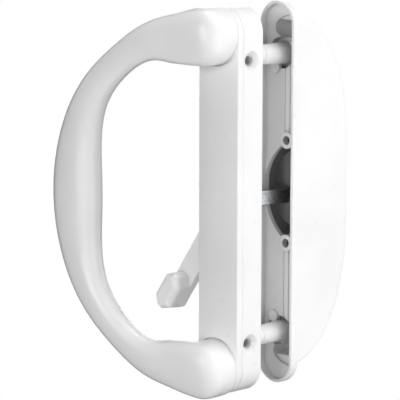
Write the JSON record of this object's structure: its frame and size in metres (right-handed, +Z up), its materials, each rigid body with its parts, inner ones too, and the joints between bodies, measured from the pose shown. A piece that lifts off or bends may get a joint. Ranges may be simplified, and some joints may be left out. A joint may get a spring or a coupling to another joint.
{
  "type": "sliding door latch handle",
  "caption": "White D-shaped door pull on a slim base with a small latch lever and through tailpiece, joined by posts to a flat-winged outside cup pull.",
  "frame": {"origin": "middle of the mounting base's rear face, which lies flat on the door's inside", "axes": "+X across the door, +Y through the door from the room to the outside, +Z up; the pull handle stands out on the -Y side and bows towards -X"},
  "size_m": [0.0719, 0.0823, 0.137],
  "materials": {
    "white_paint": "gloss white baked enamel on zinc die casting",
    "plated_steel": "zinc plated"
  },
  "bodies": {
    "handle_set": {"mounting_base": "white_paint", "face_plate": "white_paint", "pull_handle": "white_paint", "outside_pull": "white_paint", "lever_washer": "plated_steel", "door_screw_upper": "plated_steel", "door_screw_lower": "plated_steel", "foot_screw_upper": "plated_steel", "foot_screw_lower": "plated_steel", "foot_washer_upper": "plated_steel", "foot_washer_lower": "plated_steel"},
    "lever": {"latch_lever": "white_paint", "tailpiece": "plated_steel"}
  },
  "joints": [
    {"name": "lever_turn", "type": "hinge", "parent": "handle_set", "child": "lever", "pos_m": [0, 0, 0], "axis": [0, 1, 0], "range_deg": [0, 110]}
  ]
}
